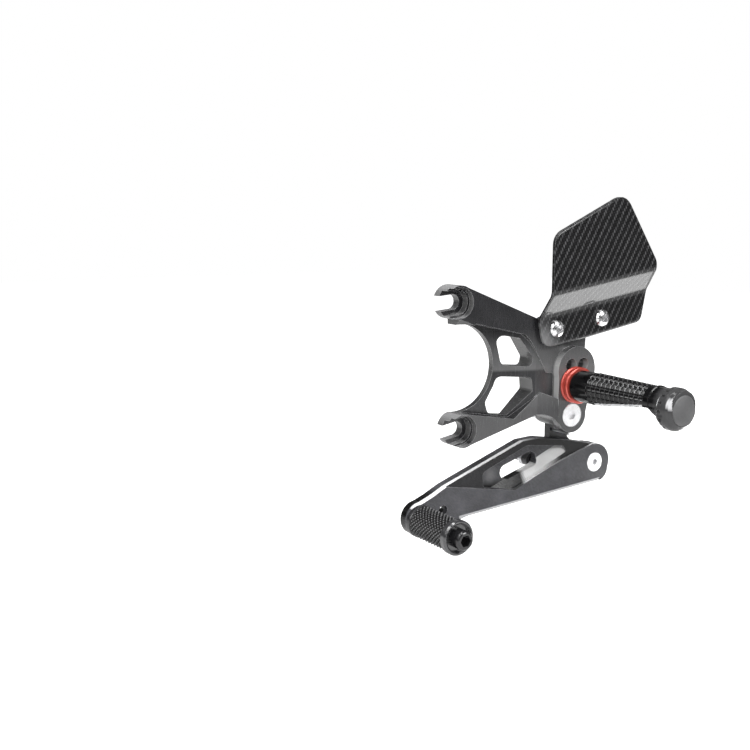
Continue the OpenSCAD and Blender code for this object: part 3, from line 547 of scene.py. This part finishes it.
def toothed_footpeg():
    """The footpeg with scale-like teeth, a flat underside, a flare and a notched knob.

    Stations run outward from the pad's face along -Y. Broken lines pair a station with a radius, or
    with a height under the axis.
    """
    pad_y = -19.0
    first, barrel_end, grip_end, last = 6.0, 20.5, 66.0, 88.6
    barrel_r, bore_r, bore_deep, closed_r = 9.6, 4.1, 27.0, 0.3
    tooth_rings, tooth_rows, tooth_deep = 12, 16, 1.3
    ring_long = (grip_end - barrel_end) / tooth_rings
    front_start, front_curve, front_long, crest_long = 0.04, 0.4, 0.08, 0.34
    side_ends, side_long = 0.95, 0.2
    rim_centre, rim_half, rim_across = 0.1, 0.07, 0.9
    dull_rim, lit_rim, lit_rows = 0.18, 0.9, (0.45, 0.9)
    seat_r, seat_deep = 8.65, 1.7
    knob_drop = 2.2
    bead_starts, bead_ends, bead_high = 69.6, 70.8, 0.5
    notch_starts, notch_ends, notch_wide, notch_deep, notch_fade = 78.4, 82.6, 0.42, 1.4, 0.8
    steps_each_ring, knob_steps = 14, 80
    turns = 20 * tooth_rows
    no_flat = 30.0
    flat_line = ((barrel_end - 0.6, 9.5), (63.5, 3.2), (70.2, 2.6), (74.6, 9.4), (74.8, no_flat),
                 (last, no_flat))
    grip_line = ((barrel_end, 9.9), (grip_end, 8.9), (75.0, 8.8), (last, 8.8))
    knob_line = ((70.0, 4.0), (73.5, 7.0), (75.6, 8.6), (77.2, 10.3), (77.8, 10.5), (78.6, 9.9),
                 (79.6, 11.8), (80.6, 12.2), (84.3, 12.2), (85.6, 11.7), (86.9, 10.7), (88.0, 9.5),
                 (last, 8.9))

    def across(angle):
        """The place across a row of teeth, from -1 to 1."""
        return (angle / FULL_TURN * tooth_rows) % 1.0 * 2 - 1

    def along(station):
        """The place along one ring of teeth, from 0 to 1."""
        return (station - barrel_end) / ring_long % 1.0

    def front(angle):
        """Where a tooth's curved front edge starts."""
        return front_start + front_curve * across(angle) ** 2

    def groove(station, angle):
        """How deep a place lies under the teeth's crests: a steep front, a short crest and a slope."""
        t = along(station)
        crest_end = front(angle) + crest_long
        rise = held((t - front(angle)) / front_long)
        fall = 1 - max(0.0, (t - crest_end) / (1 - crest_end))
        side = held((side_ends - abs(across(angle))) / side_long)
        return tooth_deep * (1 - rise * fall * side)

    def dropped(radius, angle):
        """The distance from the peg's axis to a circle that is set below it."""
        return -knob_drop * math.sin(angle) + math.sqrt(radius ** 2 - (knob_drop * math.cos(angle)) ** 2)

    def radius(station, angle):
        if station < barrel_end:
            body = barrel_r - max(0.0, first + 0.8 - station)
        else:
            body = broken_line(station, grip_line)
            if station < grip_end:
                body -= groove(station, angle)
            elif bead_starts < station < bead_ends:
                body += bead_high
        if station > knob_line[0][0]:
            own = broken_line(station, knob_line)
            notch = abs(across(angle))
            if notch_starts < station < notch_ends and notch < notch_wide:
                own -= notch_deep * (1 - notch / notch_wide) * min(1.0, (notch_ends - station) / notch_fade)
            body = max(body, dropped(own, angle))
        under = -math.sin(angle)
        if station > flat_line[0][0] and under > 0.001:
            body = min(body, broken_line(station, flat_line) / under)
        return body

    def highlight(station, angle):
        """How light a place is painted in place of a glint.

        The teeth's front rims are light, most of all in the lit rows, and so is the flat's edge.
        """
        if not barrel_end < station < grip_end:
            return 0.0
        above_flat = broken_line(station, flat_line) + radius(station, angle) * math.sin(angle)
        outer_side = math.cos(angle) < 0
        if above_flat < 0.25:
            return 0.0
        if above_flat < 1.3 and outer_side and station > barrel_end + 4:
            return 1.0
        past_rim = abs(along(station) - front(angle) - rim_centre)
        if past_rim >= rim_half or abs(across(angle)) >= rim_across or math.cos(angle) >= 0.5:
            return 0.0
        return lit_rim if outer_side and lit_rows[0] < math.sin(angle) < lit_rows[1] else dull_rim

    angles = [FULL_TURN * (i + 0.5) / turns for i in range(turns)]

    def ring(station, size):
        """The points of one ring, whose size is a radius or a function of station and angle."""
        points = []
        for angle in angles:
            r = size(station, angle) if callable(size) else size
            x = PEG[0] + r * math.cos(angle)
            z = PEG[1] + r * math.sin(angle)
            points.append((x * MM, (pad_y - station) * MM, z * MM))
        return points

    def seat(station, angle):
        return dropped(seat_r, angle)

    grip_steps = steps_each_ring * tooth_rings
    stations = [first, first + 0.4, first + 0.8, 10, 14, 18, barrel_end - 0.7, barrel_end - 0.01]
    stations += [barrel_end + (grip_end - barrel_end) * (j + 0.01) / grip_steps for j in range(grip_steps)]
    stations += [grip_end + (last - grip_end) * j / knob_steps for j in range(knob_steps + 1)]
    inner = [ring(bore_deep, closed_r), ring(bore_deep, bore_r), ring(first, bore_r)]
    outer = [ring(station, radius) for station in stations]
    end = [ring(last, seat), ring(last - seat_deep, seat), ring(last - seat_deep, closed_r)]
    # Painted highlight amounts, one for each point.
    painted_light = [0.0] * (len(inner) * turns)
    painted_light += [highlight(station, angle) for station in stations for angle in angles]
    painted_light += [0.0] * (len(end) * turns)
    peg = loft("toothed_footpeg", inner + outer + end, painted_light)
    peg.data.materials.append(machined("gloss_peg", GLOSS_BLACK, 0.12, lines=(4.0, 0.6, 4.0), depth=0.012,
                                       most_edge_highlight=0.2, edge_width=0.1, specular=0.35, painted_light=peg_painted_light))
    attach(peg, "hanger")
    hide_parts("footpeg")


knurled_sleeve()
toothed_footpeg()

# Studio: a white table, a bright ceiling and a dimmer room
LOW_POINT = -0.1376
FLOOR_GAP = 0.012
TABLE_Z = LOW_POINT - FLOOR_GAP
TABLE = ((-1.6, -1.1), (0.97, -1.1), (0.62, -0.54), (0.62, -0.3), (1.8, 0.4), (1.8, 2.6), (-1.6, 2.6))
DARK_MAT = ((-0.30, -0.72), (0.10, -0.72), (0.10, -0.42), (-0.30, -0.42))
MAT_ABOVE = 0.001

# Brightness of the room from straight down at 0 to straight up at 1
ROOM_LEVELS = ((0.0, 0.8), (0.38, 0.8), (0.44, 0.1), (0.5, 0.08), (0.64, 0.1), (0.67, 0.55), (0.71, 0.55),
               (0.74, 0.1), (1.0, 0.25))

# Lamps: name, place, target, width and height, watts
LAMPS = (
    ("ceiling", (0.05, 0.05, 0.82), (0.05, 0.0, -0.06), (0.9, 0.7), 6.0),
    ("strip_front", (-0.05, -0.24, 0.80), (0.05, -0.05, -0.06), (0.55, 0.10), 2.2),
    ("strip_left", (-0.46, -0.36, 0.30), (0.09, -0.10, -0.05), (0.16, 0.6), 2.6),
    ("strip_side", (-0.40, -0.15, 0.62), (0.09, -0.09, -0.05), (0.12, 0.4), 1.3),
    ("strip_back", (-0.05, 0.30, 0.80), (0.07, -0.05, -0.06), (0.5, 0.14), 2.6),
    ("key", (0.222, -0.46, 0.247), (0.06, -0.008, -0.112), (0.26, 0.2), 2.0),
    ("low", (0.256, -0.042, -0.14), (0.256, -0.042, 0.5), (0.19, 0.08), 0.2),
)

CAMERA_PLACE = (-0.3513, -0.5012, 0.0513)
CAMERA_RIGHT = (0.8562, -0.5165, 0.0)
CAMERA_UP = (0.0792, 0.1313, 0.9882)
CAMERA_LENS = 50.4
CAMERA_SENSOR = 36


def world():
    """White to the camera; to everything else a bright ceiling and table with a dimmer room between."""
    s = Shader("studio", world=True)
    up = s.axes(s.node("TexCoord"))[2]
    ramp = s.tree.nodes.new("ShaderNodeValToRGB")
    elements = ramp.color_ramp.elements
    while len(elements) < len(ROOM_LEVELS):
        elements.new(0.5)
    for element, (at, level) in zip(elements, ROOM_LEVELS):
        element.position = at
        element.color = (level, level, level, 1)
    s.link(s.between(up, -1.0, 1.0), ramp.inputs[0])
    room = s.node("Background", {0: ramp.outputs[0]})
    white = s.node("Background", {0: WHITE})
    camera_ray = s.node("LightPath")
    bpy.context.scene.world = s.finish(s.node("MixShader", {0: camera_ray, 1: room, 2: white}))


def sheet(name, outline, z, material):
    """A flat sheet of the studio."""
    data = bpy.data.meshes.new(name)
    data.from_pydata([(x, y, z) for x, y in outline], [], [tuple(range(len(outline)))])
    data.materials.append(material)
    made = bpy.data.objects.new(name, data)
    bpy.context.scene.collection.objects.link(made)
    return made


def table():
    """White table that keeps the object's shadow and melts into the white surround."""
    near, far = 250.0, 900.0
    near_glow, far_glow = 0.66, 1.0
    s = Shader("white_table")
    grain = s.noise(s.coordinates(), 0.3, 2.0)
    matte = s.node("BsdfDiffuse", {"Color": s.mix(s.spread(grain), (0.8, 0.8, 0.8), (0.84, 0.84, 0.84))})
    away = s.node("VectorMath", {0: s.coordinates()}, output=1, operation="LENGTH")
    glow = s.node("Emission", {"Color": WHITE, "Strength": s.between(away, near, far, near_glow, far_glow)})
    lifted = s.node("AddShader", {0: matte, 1: glow})
    camera_ray = s.node("LightPath")
    sheet("table", TABLE, TABLE_Z, s.finish(s.node("MixShader", {0: camera_ray, 1: matte, 2: lifted})))


def dark_mat():
    """A dark mat in front of the item, which only its faces mirror."""
    s = Shader("dark_cloth")
    weave = s.noise(s.coordinates(), 1.0, 2.0)
    cloth = s.surface(base_color=s.mix(weave, (0.02, 0.02, 0.02), (0.04, 0.04, 0.04)), roughness=0.9)
    mat = sheet("dark_mat", DARK_MAT, TABLE_Z + MAT_ABOVE, cloth)
    mat.visible_camera = False
    mat.visible_shadow = False


def softbox(name, place, target, size, power):
    """A rectangular lamp that faces a target."""
    data = bpy.data.lights.new(name, "AREA")
    data.shape = "RECTANGLE"
    data.size, data.size_y = size
    data.energy = power
    lamp = bpy.data.objects.new(name, data)
    lamp.location = place
    lamp.rotation_euler = (Vector(target) - Vector(place)).to_track_quat("-Z", "Y").to_euler()
    lamp.visible_camera = False
    bpy.context.scene.collection.objects.link(lamp)
    return lamp


def camera():
    """The photograph's viewpoint: long lens, a little above the item, from its front outer side."""
    right = Vector(CAMERA_RIGHT)
    up = Vector(CAMERA_UP)
    data = bpy.data.cameras.new("camera")
    data.lens = CAMERA_LENS
    data.sensor_width = CAMERA_SENSOR
    made = bpy.data.objects.new("camera", data)
    turn = Matrix((right, up, right.cross(up))).transposed().to_4x4()
    made.matrix_world = Matrix.Translation(CAMERA_PLACE) @ turn
    bpy.context.scene.collection.objects.link(made)
    bpy.context.scene.camera = made


world()
table()
dark_mat()
lamps = {lamp[0]: softbox(*lamp) for lamp in LAMPS}
lamps["ceiling"].visible_glossy = False
lamps["low"].visible_diffuse = False
camera()
bpy.context.scene.view_settings.view_transform = "Standard"
